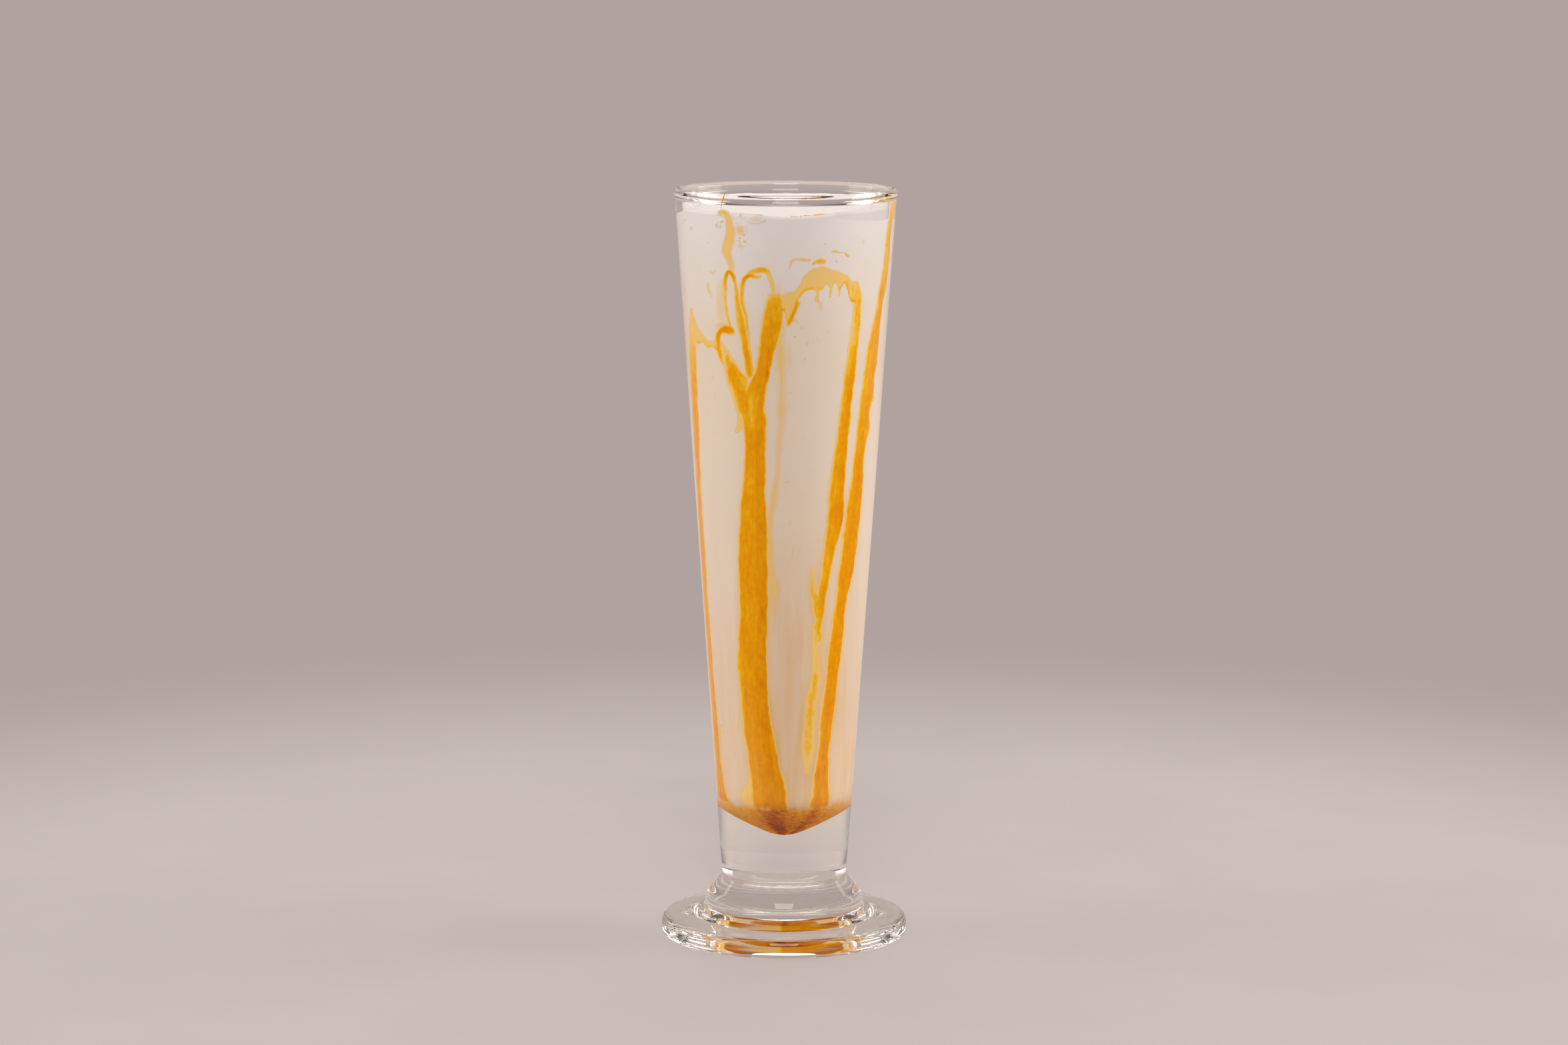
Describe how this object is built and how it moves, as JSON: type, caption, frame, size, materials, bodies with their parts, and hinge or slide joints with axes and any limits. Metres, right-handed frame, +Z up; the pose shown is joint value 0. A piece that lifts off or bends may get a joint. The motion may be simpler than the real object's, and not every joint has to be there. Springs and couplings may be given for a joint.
{
  "type": "caramel milkshake",
  "caption": "Caramel milkshake in a tall footed pilsner glass, with caramel streaks down the inside of the wall and a caramel pool in the point of the bowl.",
  "frame": {"origin": "centre of the underside of the foot, on the surface that the glass stands on", "axes": "+Z up along the axis of the glass; the side with the broad caramel streaks faces -Y, and +X is to the right of it"},
  "size_m": [0.079, 0.079, 0.24],
  "materials": {
    "clear_glass": "clear, fire polished",
    "milkshake": "opaque cream coloured drink, wet against the glass",
    "caramel": "translucent amber syrup"
  },
  "bodies": {
    "root": {"glass": "clear_glass", "milkshake": "milkshake", "caramel": "caramel"}
  },
  "joints": []
}
